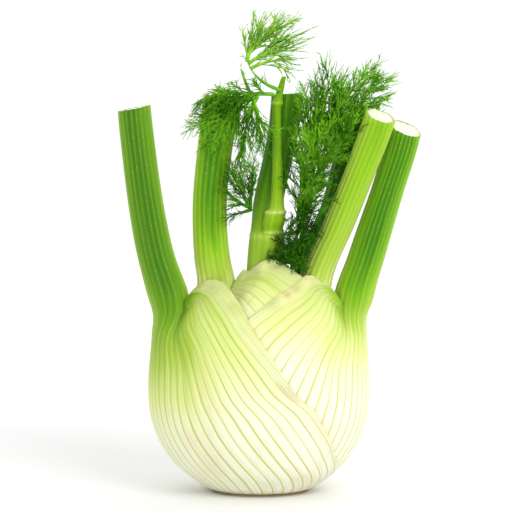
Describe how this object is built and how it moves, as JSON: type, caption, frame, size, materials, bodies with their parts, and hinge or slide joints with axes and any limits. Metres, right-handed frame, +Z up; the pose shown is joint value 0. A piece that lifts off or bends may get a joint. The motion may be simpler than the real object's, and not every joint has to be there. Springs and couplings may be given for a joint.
{
  "type": "fennel bulb",
  "caption": "Fresh fennel bulb of overlapping ribbed leaf sheaths with cut-back stalks and feathery green fronds, standing on its trimmed flat root end.",
  "frame": {"origin": "centre of the trimmed flat root end", "axes": "+Z up along the stalks, -Y towards the side where the left sheath laps over the right one, +X towards the taller right stalks"},
  "size_m": [0.1382, 0.0757, 0.2227],
  "materials": {
    "outer_left_leaf": "smooth moist plant skin, green ribs on a pale ground",
    "outer_right_leaf": "smooth moist plant skin, fine green veins on a pale ground",
    "inner_left_leaf": "smooth ribbed green plant skin",
    "inner_right_leaf": "smooth ribbed green plant skin",
    "innermost_right_leaf": "smooth ribbed dark green plant skin",
    "heart_leaf": "smooth green plant skin",
    "young_shoot": "smooth bright green plant skin",
    "root_plate": "dry cut plant flesh",
    "top_frond": "fine light green needles",
    "upper_left_frond": "fine green needles",
    "lower_left_frond": "fine green needles",
    "right_fronds": "fine dark green needles"
  },
  "bodies": {
    "root": {"outer_left_leaf": "outer_left_leaf", "outer_right_leaf": "outer_right_leaf", "inner_left_leaf": "inner_left_leaf", "inner_right_leaf": "inner_right_leaf", "innermost_right_leaf": "innermost_right_leaf", "heart_leaf": "heart_leaf", "young_shoot": "young_shoot", "root_plate": "root_plate", "top_frond": "top_frond", "upper_left_frond": "upper_left_frond", "lower_left_frond": "lower_left_frond", "right_fronds": "right_fronds"}
  },
  "joints": []
}
